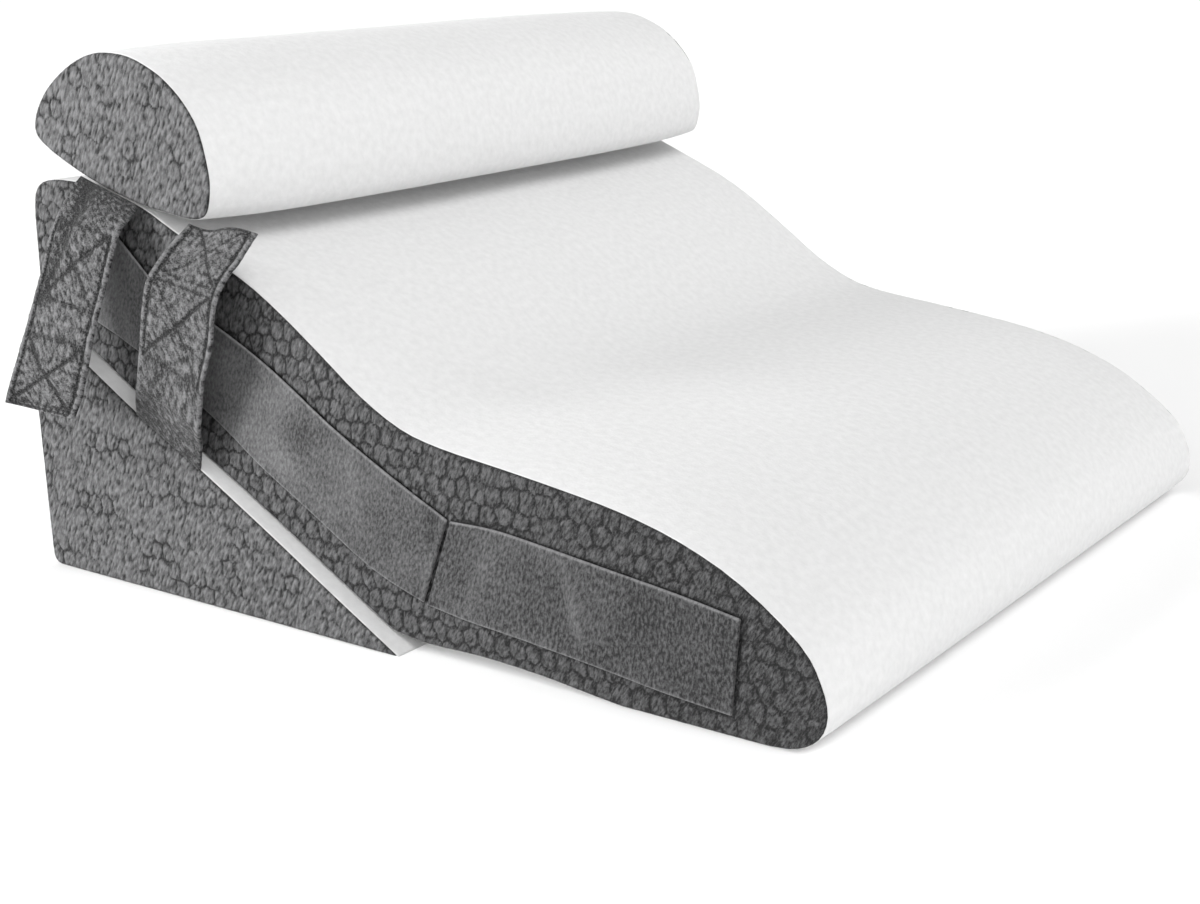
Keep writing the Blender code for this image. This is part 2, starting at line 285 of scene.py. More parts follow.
PUCKER_FADE = 9.0 * MM
PUCKER_ALONG = 14.0 * MM
PUCKER_ACROSS = 60.0 * MM
SAG_DEPTH = 1.0 * MM
SAG_MEAN = 0.5
SAGS_PER_METRE = 9.0


def add_cushion(name, loose, material):
    """A foam cushion in its cover, on the CAD cushion's outline and crown. loose is how
    much the cover sags on its upper faces, from 0 to 1."""
    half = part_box(name)[1].y
    outline = fine_outline(section(name, half - SEAM_SECTION_IN), OUTLINE_STEP)
    crown_tree = search_tree(fine_outline(section(name, 0.0), CROWN_STEP))
    normals = outward_normals(outline)
    rooms = room_inside(outline, normals, MOST_ROOM)
    crowns = [crown_tree.find((point.x, 0.0, point.y))[2] for point in outline]
    crowns = [crown if crown > LEAST_CROWN else 0.0 for crown in crowns]
    runs = [0.0]
    for i in range(1, len(outline) + 1):
        runs.append(runs[-1] + (outline[i % len(outline)] - outline[i - 1]).length)

    rim = [(half + proud * MM, drawn * MM) for proud, drawn in ROLLED_RIM_MM]
    span = rim[-1][0]
    steps = round(span / COVER_STEP)
    rim += [(span - span * i / steps, 0.0) for i in range(1, steps + 1)]
    flatter = [(half + (y - half) * NEAR_RIM_SHARE if y > half else y, d) for y, d in rim]
    stations = [(-y, drawn) for y, drawn in flatter] + rim[-2::-1]

    bm = bmesh.new()
    place_in_outline = bm.verts.layers.int.new("outline")
    cloth = bm.loops.layers.uv.new("cloth")
    ring = []
    for i, point in enumerate(outline):
        vert = bm.verts.new((point.x, 0.0, point.y))
        vert[place_in_outline] = i
        ring.append(vert)
    edges = [bm.edges.new((ring[i - 1], ring[i])) for i in range(len(ring))]
    bmesh.ops.edgeloop_fill(bm, edges=edges)
    bmesh.ops.spin(bm, geom=bm.verts[:] + bm.edges[:] + bm.faces[:], cent=(0, 0, 0),
                   axis=(0, 1, 0), dvec=(0, 1, 0), angle=0, steps=len(stations) - 1,
                   use_duplicate=False)
    for face in bm.faces:
        places = [loop.vert[place_in_outline] for loop in face.loops]
        closing = max(places) - min(places) > 2
        for loop, i in zip(face.loops, places):
            run = runs[-1] if closing and i == 0 else runs[i]
            loop[cloth].uv = (run, stations[round(loop.vert.co.y)][0])
    for vert in bm.verts:
        i = vert[place_in_outline]
        y, drawn = stations[round(vert.co.y)]
        point, normal = outline[i], normals[i]
        inward = max(half - abs(y), 0.0)
        filled = 1 - math.exp(-inward / CROWN_REACH)
        push = crowns[i] * filled - min(drawn, DRAWN_SHARE * rooms[i])
        upward = min(max(normal.y - UPWARD_FROM, 0.0), 1.0)
        pucker = PUCKER_DEPTH * math.exp(-inward / PUCKER_FADE) * abs(noise.noise(
            Vector((runs[i] / PUCKER_ALONG, y / PUCKER_ACROSS, 1.0))))
        sag = SAG_DEPTH * loose * (SAG_MEAN + noise.noise(
            Vector((point.x, y, point.y)) * SAGS_PER_METRE))
        push -= upward * (pucker + max(sag, 0.0) * filled)
        moved = point + normal * push
        vert.co = (moved.x, y, max(moved.y, 0.0))
    piece = finish_mesh(bm, name + "_cover", material)
    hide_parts(name)


# White polyester bubble knit. It is matt with a faint soft sheen, its bubbles are about
# 12 mm across and shallow, and the knit's fine stitches mottle it.
white_knit, tree, shader = new_material("white_bubble_knit", Roughness=0.92, Sheen_Weight=0.1,
                                        Sheen_Roughness=0.5)
WHITE_BUBBLE_ACROSS = 12.5 * MM
MOTTLE_ACROSS = 6.0 * MM
STITCH_ACROSS = 1.6 * MM
cloth_place = add_node(tree, "ShaderNodeUVMap", uv_map="cloth").outputs["UV"]
bubbles = add_node(tree, "ShaderNodeTexVoronoi",
                   {"Vector": cloth_place, "Scale": 1 / WHITE_BUBBLE_ACROSS, "Randomness": 0.6},
                   voronoi_dimensions="2D", feature="SMOOTH_F1")
mottles = add_node(tree, "ShaderNodeTexNoise",
                   {"Vector": cloth_place, "Scale": 1 / MOTTLE_ACROSS, "Detail": 3.0},
                   noise_dimensions="2D")
stitches = add_node(tree, "ShaderNodeTexNoise",
                    {"Vector": cloth_place, "Scale": 1 / STITCH_ACROSS, "Detail": 2.0},
                    noise_dimensions="2D")
tone = add_node(tree, "ShaderNodeMix", {"Factor": mottles.outputs["Fac"],
                                        "A": paint("#D1D1D1"), "B": paint("#E1E1E1")},
                data_type="RGBA")
tree.links.new(tone.outputs["Result"], shader.inputs["Base Color"])
bubble_bump = add_node(tree, "ShaderNodeBump", {"Height": bubbles.outputs["Distance"],
                                                "Strength": 0.3, "Distance": 1.0 * MM},
                       invert=True)
mottle_bump = add_node(tree, "ShaderNodeBump", {"Height": mottles.outputs["Fac"],
                                                "Strength": 0.25, "Distance": 1.2 * MM,
                                                "Normal": bubble_bump.outputs["Normal"]})
knit_bump = add_node(tree, "ShaderNodeBump", {"Height": stitches.outputs["Fac"],
                                              "Strength": 0.3, "Distance": 0.4 * MM,
                                              "Normal": mottle_bump.outputs["Normal"]})
tree.links.new(knit_bump.outputs["Normal"], shader.inputs["Normal"])

add_cushion("wedge_cushion", 0.0, white_knit)
add_cushion("contour_cushion", 1.0, white_knit)
add_cushion("bolster_cushion", 1.0, white_knit)


# The grey side panels: six flat cuts of dark grey bubble knit, sewn into the covers' two
# ends and lapping the seam by a hair. Flat-topped bubbles stand between narrow drawn-in
# channels, small ripples lean across them, and the cloth turns back into the seam all round.

PANEL_CUT = 1.15 * MM
PANEL_BORDER_STEP = 2.5 * MM
PANEL_LAP = 0.3 * MM
PANEL_CUT_TOLERANCE = 0.02 * MM
PANEL_LEAST_Z = 0.1 * MM
BORDER_SEARCH_STEP = 0.4 * MM
STRIP_SEARCH_STEP = 0.5 * MM
TOPS_DEPTH = 0.45 * MM
BUBBLE_WIDE = 12.6 * MM
BUBBLE_ROW = 12.4 * MM
BUBBLE_STRAY = 1.9 * MM
SPARE_BUBBLES = 4
BUBBLES_BEFORE = 1.5
PATCH_CONTRAST = 1.2
PATCHES_PER_METRE = 45.0
CHANNEL_WIDTH = 0.75 * MM
CHANNEL_DEPTH = 0.9 * MM
BUBBLE_SHOULDER = 2.2 * MM
BUBBLE_RISE = 0.35 * MM
RIPPLE_ACROSS = 2.0 * MM
RIPPLE_ALONG = 6.0 * MM
RIPPLE_DEPTH = 0.8 * MM
RIPPLE_LEAN = math.radians(29)
SEAM_TURN = 2.4 * MM
SEAM_DEPTH = 1.8 * MM
PRESSED_WIDTH = 1.3 * MM
PRESSED_DEPTH = 0.7 * MM
# How the channels wander: waves per metre along X and along Z, and how far in mm.
CHANNEL_WANDERS = ((95.0, 75.0, 2.0), (270.0, 210.0, 0.9))
# How light the flat cloth is, and the painted light or shade that each relief adds or takes.
PANEL_LIGHT = 0.54
RIPPLE_PAINTED_SHADING = 0.85
CHANNEL_PAINTED_SHADE = 0.95
FALL_PAINTED_SHADE = 0.1
PRESSED_PAINTED_SHADE = 0.5
TURN_PAINTED_SHADE = 0.45


def bubble_centres(low, high, seed):
    """Staggered rows of bubble centres over a panel's box, each a little out of line."""
    chance = random.Random(seed)
    centres = []
    for row in range(int((high.z - low.z) / BUBBLE_ROW) + SPARE_BUBBLES):
        for column in range(int((high.x - low.x) / BUBBLE_WIDE) + SPARE_BUBBLES):
            x = low.x + (column - BUBBLES_BEFORE + 0.5 * (row % 2)) * BUBBLE_WIDE
            z = low.z + (row - BUBBLES_BEFORE) * BUBBLE_ROW
            centres.append(Vector((x + chance.uniform(-BUBBLE_STRAY, BUBBLE_STRAY),
                                   z + chance.uniform(-BUBBLE_STRAY, BUBBLE_STRAY))))
    return search_tree(centres)


def cut_at(bm, faces, axis, cuts):
    """Cuts flat faces at each place along an axis, first in two and then each half."""
    if not cuts or not faces:
        return
    middle = len(cuts) // 2
    place, direction = Vector((0, 0, 0)), Vector((0, 0, 0))
    place[axis], direction[axis] = cuts[middle], 1.0
    # Dictionary keys keep their order, so the cloth is cut in the same order each run.
    corners = dict.fromkeys(vert for face in faces for vert in face.verts)
    sides = dict.fromkeys(edge for face in faces for edge in face.edges)
    halved = bmesh.ops.bisect_plane(bm, geom=[*corners, *sides, *faces],
                                    dist=PANEL_CUT_TOLERANCE, plane_co=place, plane_no=direction)
    faces = [item for item in halved["geom"] if isinstance(item, bmesh.types.BMFace)]
    beyond = [face.calc_center_median()[axis] > cuts[middle] for face in faces]
    cut_at(bm, [f for f, far in zip(faces, beyond) if not far], axis, cuts[:middle])
    cut_at(bm, [f for f, far in zip(faces, beyond) if far], axis, cuts[middle + 1:])


def add_panels(kind, seed, ripples, channels, tone_and_painted_falloff, pressing, material):
    """A pair of sewn-in side panels on the CAD panels' outline, the far one mirrored.
    ripples and channels are how much of each shows, the head and foot pair how light the
    cloth is at each end, with the fall between them a painted falloff of light, and pressing
    the strips sewn on it."""
    low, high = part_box(kind + "_near")
    middle_y = (low.y + high.y) / 2
    rim = fine_outline(section(kind + "_near", middle_y), PANEL_BORDER_STEP)
    normals = outward_normals(rim)
    outline = [point + normal * PANEL_LAP for point, normal in zip(rim, normals)]
    bm = bmesh.new()
    shade = bm.verts.layers.float.new("shade")
    ring = [bm.verts.new((point.x, 0.0, max(point.y, PANEL_LEAST_Z))) for point in outline]
    edges = [bm.edges.new((ring[i - 1], ring[i])) for i in range(len(ring))]
    bmesh.ops.edgeloop_fill(bm, edges=edges)
    for axis in (2, 0):
        count = int((high[axis] - low[axis]) / PANEL_CUT)
        cut_at(bm, bm.faces[:], axis, [low[axis] + (i + 0.5) * PANEL_CUT for i in range(count)])
    flat_area = sum(face.calc_area() for face in bm.faces)
    border = search_tree(fine_outline(outline, BORDER_SEARCH_STEP))
    centres = bubble_centres(low, high, seed)
    pressed_points = []
    for strip in pressing:
        strip_low, strip_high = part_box(strip)
        strip_rim = section(strip, (strip_low.y + strip_high.y) / 2)
        pressed_points += fine_outline(strip_rim, STRIP_SEARCH_STEP)
    pressed_tree = search_tree(pressed_points)
    lean_x, lean_z = math.sin(RIPPLE_LEAN), math.cos(RIPPLE_LEAN)

    for vert in bm.verts:
        x, z = vert.co.x, vert.co.z
        inward = border.find(vert.co)[2]
        bend = Vector((0.0, 0.0, 0.0))
        for number, (per_x, per_z, far) in enumerate(CHANNEL_WANDERS):
            wander = noise.noise_vector(Vector((x * per_x, z * per_z, seed + 5.0 + number)))
            bend += wander * far * MM
        nearest, second = centres.find_n((x + bend.x, 0.0, z + bend.y), 2)
        shoulder = (second[2] - nearest[2]) / 2
        patch = PATCH_CONTRAST * noise.noise(Vector((x, z, seed)) * PATCHES_PER_METRE)
        shown = min(max(channels + patch, 0.0), 1.0)
        channel = shown * math.exp(-(shoulder / CHANNEL_WIDTH) ** 2)
        fall = shown * math.exp(-shoulder / BUBBLE_SHOULDER)
        ripple = ripples * noise.noise(Vector(((x * lean_z - z * lean_x) / RIPPLE_ACROSS,
                                               (x * lean_x + z * lean_z) / RIPPLE_ALONG,
                                               seed + 9.0)))
        pressed = 0.0
        if pressed_points:
            pressed = math.exp(-(pressed_tree.find(vert.co)[2] / PRESSED_WIDTH) ** 2)
        depth = (TOPS_DEPTH + CHANNEL_DEPTH * channel + BUBBLE_RISE * fall
                 - RIPPLE_DEPTH * ripple + PRESSED_DEPTH * pressed)
        turn = max(0.0, 1 - inward / SEAM_TURN)
        depth = min(max(depth, 0.0) * (1 - turn) + SEAM_DEPTH * turn ** 2, SEAM_DEPTH)
        # The fall from head to foot is a painted falloff of the light along the side.
        tone = tone_and_painted_falloff[0] + (tone_and_painted_falloff[1] - tone_and_painted_falloff[0]) * (x - low.x) / (high.x - low.x)
        # Painted shade in channels, shoulders, pressed lines, seam turn; painted light and shade
        # on ripples.
        light = (PANEL_LIGHT + RIPPLE_PAINTED_SHADING * ripple - CHANNEL_PAINTED_SHADE * channel
                 - FALL_PAINTED_SHADE * fall - PRESSED_PAINTED_SHADE * pressed - TURN_PAINTED_SHADE * turn ** 2)
        vert[shade] = tone * max(light, 0.0)
        vert.co.y = low.y + depth
    back = bmesh.ops.extrude_edge_only(bm, edges=[e for e in bm.edges if e.is_boundary])
    back_edges = [g for g in back["geom"] if isinstance(g, bmesh.types.BMEdge) and g.is_boundary]
    for edge in back_edges:
        for vert in edge.verts:
            vert.co.y = high.y
    bmesh.ops.edgeloop_fill(bm, edges=back_edges)
    mirrored = bm.copy()
    bmesh.ops.scale(mirrored, vec=(1, -1, 1), verts=mirrored.verts[:])
    for end, cloth in (("near", bm), ("far", mirrored)):
        piece = finish_mesh(cloth, f"{kind}_{end}_panel", material)
        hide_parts(f"{kind}_{end}")


def colour_by_shade(tree, shader, yarn, contrast, dark, pale, strength, depth):
    """Colours cloth from dark to pale by its shade attribute, which carries painted light and
    shade, mottled by its yarn's noise with a contrast either way, and lets the same noise
    stand up as a bump."""
    shade_value = add_node(tree, "ShaderNodeAttribute", attribute_name="shade").outputs["Fac"]
    mottle = add_node(tree, "ShaderNodeMapRange",
                      {"Value": yarn.outputs["Fac"], "From Min": 0.3, "From Max": 0.7,
                       "To Min": -contrast, "To Max": contrast})
    mottled = add_node(tree, "ShaderNodeMath", {0: shade_value, 1: mottle.outputs["Result"]},
                       operation="ADD")
    tone = add_node(tree, "ShaderNodeValToRGB", {"Fac": mottled.outputs["Value"]})
    tone.color_ramp.elements[0].color = paint(dark)
    tone.color_ramp.elements[1].color = paint(pale)
    tree.links.new(tone.outputs["Color"], shader.inputs["Base Color"])
    bump = add_node(tree, "ShaderNodeBump", {"Height": yarn.outputs["Fac"],
                                             "Strength": strength, "Distance": depth})
    tree.links.new(bump.outputs["Normal"], shader.inputs["Normal"])


# Dark grey polyester bubble knit, matt. Its shade attribute paints light on the bubbles and
# ripples and shade in the channels, and its short fibres lean the way the ripples do.
grey_knit, tree, shader = new_material("grey_bubble_knit", Roughness=0.95, Sheen_Weight=0.08,
                                       Sheen_Roughness=0.5)
FIBRE_ACROSS = 1.25 * MM
FIBRE_STRETCH = 2.6
object_place = add_node(tree, "ShaderNodeTexCoord").outputs["Object"]
leaning = add_node(tree, "ShaderNodeMapping", {"Vector": object_place,
                                               "Rotation": (0.0, RIPPLE_LEAN, 0.0),
                                               "Scale": (1.0, 1.0, FIBRE_STRETCH)},
                   vector_type="TEXTURE").outputs["Vector"]
fibres = add_node(tree, "ShaderNodeTexNoise", {"Vector": leaning, "Scale": 1 / FIBRE_ACROSS,
                                               "Detail": 3.0, "Roughness": 0.65})
colour_by_shade(tree, shader, fibres, contrast=0.3, dark="#080809", pale="#707071",
                strength=0.7, depth=0.9 * MM)

# Each panel's head and foot pair paints the light falling off from its head to its foot.
add_panels("wedge_side", 3, 0.95, 0.32, (1.02, 0.86), (), grey_knit)
add_panels("contour_side", 13, 0.8, 0.95, (1.04, 0.32),
           ("head_loop_strip_near", "foot_loop_strip_near"), grey_knit)
add_panels("bolster_end", 23, 0.9, 0.22, (1.2, 1.04), (), grey_knit)


# The loop strips: two lengths of brushed loop tape on each side of the long cushion, sewn
# flat to the grey panel. Their long edges stand up a little, catch the light and carry a
# painted highlight, and the foot end of each is turned under once more.

STRIP_COLUMNS = 130
STRIP_LINES = 32
STRIP_THICKNESS = 1.5 * MM
STRIP_RIM = 1.0 * MM
STRIP_ROUNDING = 0.7 * MM
STRIP_EDGE_SHARE = 0.3
STRIP_FLAT_SHARE = 0.72
END_TURN = 5.0 * MM
END_TURN_SOFTNESS = 0.6 * MM
GIVES_PER_METRE = (26.0, 40.0)
GIVE_RISE = 0.2
CREASES_PER_METRE = (90.0, 22.0)
CREASE_RISE = 0.1
ROW_CROWDING = 0.11
# How light the flat tape is, and what each relief adds: give and crease lighten it where
# they raise it, and the standing edges, turned end and bulges get a painted highlight.
STRIP_LIGHT = 0.5
GIVE_LIGHT = 0.3
CREASE_LIGHT = 0.15
TURNED_PAINTED_HIGHLIGHT = 0.2
BULGE_PAINTED_HIGHLIGHT = 0.08
STANDING_PAINTED_HIGHLIGHT = 0.55


def slab(columns, lines, place, flat, crowding=0.0):
    """A sheet with two faces and a closed edge: place maps its share across, its share
    along and its face, 0 inside and 1 outside, to a point and how light the cloth is there.
    Its UVs are its flat sizes, and crowding draws its rows towards its edges."""
    bm = bmesh.new()
    cloth = bm.loops.layers.uv.new("cloth")
    shade = bm.verts.layers.float.new("shade")
    bmesh.ops.create_grid(bm, x_segments=columns, y_segments=lines, size=0.5)
    outer = bmesh.ops.extrude_face_region(bm, geom=bm.faces[:], use_keep_orig=True)
    for vert in [g for g in outer["geom"] if isinstance(g, bmesh.types.BMVert)]:
        vert.co.z = 1.0
    for vert in bm.verts:
        for axis in (0, 1):
            share = vert.co[axis] + 0.5
            vert.co[axis] = share - crowding * math.sin(2 * math.pi * share)
    for face in bm.faces:
        for loop in face.loops:
            loop[cloth].uv = (loop.vert.co.x * flat[0], loop.vert.co.y * flat[1])
    for vert in bm.verts:
        vert.co, vert[shade] = place(vert.co.x, vert.co.y, round(vert.co.z))
    return bm


def resampled(points, share):
    """The point at a share of an open line's length."""
    lengths = [(points[i + 1] - points[i]).length for i in range(len(points) - 1)]
    left = share * sum(lengths)
    for i, length in enumerate(lengths):
        if left <= length or i == len(lengths) - 1:
            return points[i].lerp(points[i + 1], min(left / length, 1.0))
        left -= length


CORNER_STEP = 1.0 * MM
CORNER_REACH = 5
CORNERS_APART = 20.0 * MM


def long_edges(rough):
    """The lower and upper long edges of a strip's outline, both from head to foot. Its
    corners are where it turns most over CORNER_REACH points either way."""
    outline = fine_outline(rough, CORNER_STEP)
    count = len(outline)
    turns = [(outline[i] - outline[i - CORNER_REACH]).angle(
        outline[(i + CORNER_REACH) % count] - outline[i]) for i in range(count)]
    corners = []
    for i in sorted(range(count), key=lambda i: -turns[i]):
        if all((outline[i] - outline[j]).length > CORNERS_APART for j in corners):
            corners.append(i)
    corners = sorted(corners[:4])
    spans = []
    for start, end in zip(corners, corners[1:] + [corners[0] + count]):
        spans.append([outline[i % count] for i in range(start, end + 1)])
    lengths = [sum((s[i + 1] - s[i]).length for i in range(len(s) - 1)) for s in spans]
    first = 0 if lengths[0] + lengths[2] > lengths[1] + lengths[3] else 1
    pair = [spans[first], spans[first + 2]]
    pair = [span if span[0].x < span[-1].x else span[::-1] for span in pair]
    return sorted(pair, key=lambda span: span[0].y + span[-1].y)


def add_loop_strip(name, side, tone_and_painted_falloff, bulges, material):
    """A sewn strip of loop tape on the CAD strip's outline, with standing edges. The head and
    foot pair is how light it is at its head and foot end, the fall between them a painted
    falloff of light. bulges are soft creases across it: the share along, then slant, half
    width and height in mm."""
    low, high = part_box(name)
    under_y = low.y if side > 0 else -high.y
    lower, upper = long_edges(section(name, (low.y + high.y) / 2))
    length = sum((lower[i + 1] - lower[i]).length for i in range(len(lower) - 1))
    width = (upper[-1] - lower[-1]).length

    def place(across, along, face):
        point = resampled(lower, along).lerp(resampled(upper, along), across)
        from_side = min(across, 1 - across) * width
        from_edge = min(from_side, along * length, (1 - along) * length)
        rounding = math.sqrt(max(0.0, 1 - (1 - min(from_edge / STRIP_ROUNDING, 1.0)) ** 2))
        standing = math.exp(-(from_side / STRIP_RIM) ** 2)
        past_turn = (END_TURN - (1 - along) * length) / END_TURN_SOFTNESS
        turned = 0.5 + 0.5 * math.tanh(past_turn)
        give = noise.noise(Vector((point.x * GIVES_PER_METRE[0],
                                   point.y * GIVES_PER_METRE[1], 40.0)))
        crease = noise.noise(Vector((point.x * CREASES_PER_METRE[0],
                                     point.y * CREASES_PER_METRE[1], 41.0)))
        thick = STRIP_THICKNESS * (
            STRIP_FLAT_SHARE + (1 - STRIP_FLAT_SHARE) * max(standing, turned)
            + GIVE_RISE * give + CREASE_RISE * crease)
        thick *= STRIP_EDGE_SHARE + (1 - STRIP_EDGE_SHARE) * rounding
        bulge_painted_highlight = 0.0
        for at, slant, wide, high in bulges:
            off = ((along - at) * length / MM - slant * (0.5 - across)) / wide
            bulge = math.exp(-off ** 2) * math.sin(math.pi * across)
            thick += high * MM * bulge
            bulge_painted_highlight += BULGE_PAINTED_HIGHLIGHT * high * bulge
        # The fall from head to foot is a painted falloff of the light along the side.
        tone = tone_and_painted_falloff[0] + (tone_and_painted_falloff[1] - tone_and_painted_falloff[0]) * along
        # Painted highlight on the turned end, the bulges and the standing edges.
        light = tone * (STRIP_LIGHT + GIVE_LIGHT * give + CREASE_LIGHT * crease
                        + TURNED_PAINTED_HIGHLIGHT * turned + bulge_painted_highlight)
        light += STANDING_PAINTED_HIGHLIGHT * standing
        return Vector((point.x, side * (under_y + face * thick), point.y)), light

    bm = slab(STRIP_LINES, STRIP_COLUMNS, place, (width, length), crowding=ROW_CROWDING)
    piece = finish_mesh(bm, name + "_tape", material)
    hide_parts(name)


# Brushed polyester loop tape. A short nap of loops gives it a felt-like face, a shade
# lighter where it was brushed up, with small strokes across the tape.
loop_tape, tree, shader = new_material("brushed_loop_tape", Roughness=0.96, Sheen_Weight=0.15,
                                       Sheen_Roughness=0.4)
NAP_ACROSS = 2.0 * MM
NAP_STRETCH = (1.8, 1.0, 1.0)
cloth_place = add_node(tree, "ShaderNodeUVMap", uv_map="cloth").outputs["UV"]
stroked = add_node(tree, "ShaderNodeMapping", {"Vector": cloth_place, "Scale": NAP_STRETCH},
                   vector_type="TEXTURE").outputs["Vector"]
nap = add_node(tree, "ShaderNodeTexNoise", {"Vector": stroked, "Scale": 1 / NAP_ACROSS,
                                            "Detail": 4.0, "Roughness": 0.7},
               noise_dimensions="2D")
colour_by_shade(tree, shader, nap, contrast=0.24, dark="#111112", pale="#828283",
                strength=0.6, depth=0.7 * MM)

# Each strip's head and foot pair paints the light falling off along the side.
for side, end in ((-1, "near"), (1, "far")):
    add_loop_strip("head_loop_strip_" + end, side, (1.1, 0.4), ((0.55, 14.0, 9.0, 1.2),),
                   loop_tape)
    add_loop_strip("foot_loop_strip_" + end, side, (0.42, 0.24),
                   ((0.5, 34.0, 6.0, 4.6), (0.17, -20.0, 7.0, 2.0)), loop_tape)


# The straps: doubled grey bubble knit, 68 mm wide, turned right side out and sewn into the
# seams by one end. Two squares of stitching with crosses hold the hook tape that is on
# the inner face. The stitching draws the cloth into troughs, and the edges roll beside it.

WEDGE_BACK_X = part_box("wedge_cushion")[0].x
WEDGE_SIDE_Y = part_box("wedge_side_far")[1].y
STRAP_WIDE = 68.0 * MM
STRAP_HALF_THICKNESS = 1.25 * MM
STRAP_COLUMNS = 72
STRAP_LINES = 180
STRAP_ROUNDING = 1.5 * MM
STRAP_EDGE_SHARE = 0.35
SEWN_DEPTH = 1.25 * MM
SEWN_WIDTH = 1.2 * MM
PUCKER_PITCH = 2.4 * MM
PUCKER_REACH = 4.5 * MM
WRINKLE_PITCH = 2.2 * MM
WRINKLE_LONG = 6.5 * MM
WRINKLE_DROP = 0.75
CRUMPLES_PER_METRE = (270.0, 250.0)
PUFF_REACH = 7.0 * MM
SWAYS_PER_METRE = (40.0, 34.0)
SWAY_DEPTH = 1.2 * MM
SWAY_RUN = 25.0 * MM
EDGE_ROW_IN = 5.0 * MM
END_ROW_IN = 3.0 * MM
ROLLED_FROM = 30.0 * MM
RELIEF_AT_SEAM = 0.4
RELIEF_RUN = 20.0 * MM
INNER_RELIEF = 0.35
SHADED_RUN = 62.0 * MM
LENGTH_SAMPLES = 50
SLOPE_STEP = 0.01
NOISE_STEP = 7.3
LEAST_HALF = 0.3 * MM
FLOOR_CLEARANCE = 0.2 * MM
# How far each relief stands out, in mm.
ROLLED_RISE = 0.3
PUFF_RISE = 0.35
PUCKER_RISE = 0.8
WRINKLE_RISE = 0.55
CRUMPLE_RISE = 0.5
# How light the flat knit is, the painted light or shade that each relief adds or takes, and
# the painted shade near the sewn end.
STRAP_LIGHT = 0.42
ROLLED_PAINTED_HIGHLIGHT = 0.28
PUCKER_PAINTED_SHADING = 0.85
WRINKLE_PAINTED_SHADING = 0.65
CRUMPLE_PAINTED_SHADING = 0.6
PUFF_PAINTED_HIGHLIGHT = 0.06
SEWN_PAINTED_SHADE = 1.5
HOLLOW_PAINTED_SHADE = 0.2
SEWN_END_PAINTED_SHADE = 0.4
# How hard the rows of stitching pull: a square's first and last row, then the rows beside
# the strap's head side, its foot side and its free end.
SQUARE_PULLS = (0.25, 0.3)
EDGE_PULLS = (0.8, 1.0, 0.8)

# A row for each section from the sewn end to the free end, as the CAD straps have them:
# the head-side edge and the foot-side edge, from the wedge's back, beyond its side and
# above the floor, then how far the middle bows out and how much it ripples across.
BOLSTER_STRAP_ROWS = (
    # head_x, head_out, head_z, foot_x, foot_out, foot_z, bow, wave
    (62.0, -13.6, 295.8, 121.0, -13.6, 277.9, 0.0, 0.0),
    (59.0, -7.0, 288.0, 124.0, -4.5, 272.5, 2.0, 0.0),
    (57.0, 2.0, 274.0, 123.0, 5.5, 264.0, 4.0, 0.5),
    (53.0, 12.0, 254.0, 120.0, 13.0, 245.0, 3.0, 1.0),
    (50.0, 20.0, 231.0, 117.0, 20.5, 222.0, 1.0, 0.5),
    (47.0, 29.0, 207.0, 115.0, 28.5, 200.0, 1.5, -0.5),
    (45.0, 41.0, 179.0, 112.5, 36.0, 172.0, 2.0, -1.0),
    (44.0, 50.0, 160.0, 111.0, 41.5, 155.0, 1.0, -1.5),
    (43.5, 56.0, 144.0, 108.0, 49.0, 139.0, -1.0, -2.0),
)
WEDGE_STRAP_ROWS = (
    (113.0, -1.5, 133.1, 175.0, -1.5, 100.7, 0.0, 0.0),
    (120.0, 4.0, 144.0, 184.0, 4.0, 119.5, 1.0, 0.5),
    (127.5, 8.5, 158.0, 191.0, 10.0, 135.0, 2.0, 1.0),
    (141.0, 13.0, 189.0, 205.5, 15.5, 169.0, 2.0, 0.0),
    (150.0, 16.5, 212.0, 216.0, 15.5, 195.0, 2.0, -1.0),
    (156.0, 15.5, 234.0, 222.0, 15.5, 221.0, 3.0, 0.0),
    (161.0, 6.5, 247.5, 228.0, 9.5, 239.0, 3.0, 2.0),
    (165.5, -4.0, 260.0, 233.0, -2.5, 253.5, 1.5, 2.0),
    (168.0, -16.0, 269.3, 236.5, -14.0, 267.5, 0.0, 3.0),
)
HANGING_STRAP_ROWS = (
    (113.0, -1.5, 133.1, 175.0, -1.5, 100.7, 0.0, 0.0),
    (114.5, 2.0, 138.0, 177.0, 2.0, 105.5, 0.0, 0.0),
    (112.5, 8.0, 136.5, 175.0, 8.0, 104.0, 0.5, 0.0),
    (108.5, 11.0, 127.0, 171.0, 11.0, 93.5, 1.0, 0.0),
    (96.0, 15.0, 103.5, 158.5, 16.0, 68.5, 2.0, 0.5),
    (82.0, 18.0, 78.0, 144.5, 20.0, 43.0, 2.0, 2.0),
    (70.0, 20.5, 54.5, 132.5, 25.5, 19.5, 1.5, 0.5),
    (59.5, 24.0, 31.5, 122.0, 37.0, 5.5, 0.5, 0.0),
    (51.0, 32.0, 13.0, 113.5, 54.0, 1.8, 0.0, 0.0),
    (40.0, 48.0, 2.6, 102.5, 74.0, 1.7, 0.0, 0.0),
)
# The squares of stitching: left, right, start and end in mm across and along the strap,
# then how tight the crossing rows are, first the one that ends at the left.
BOLSTER_STRAP_SQUARES = ((7.0, 62.0, 48.0, 95.0, 1.0, 0.35), (4.5, 61.0, 114.0, 158.0, 1.0, 0.6))
WEDGE_STRAP_SQUARES = ((4.5, 60.0, 61.0, 114.0, 0.35, 1.0), (9.0, 62.0, 121.0, 171.0, 0.6, 0.3))
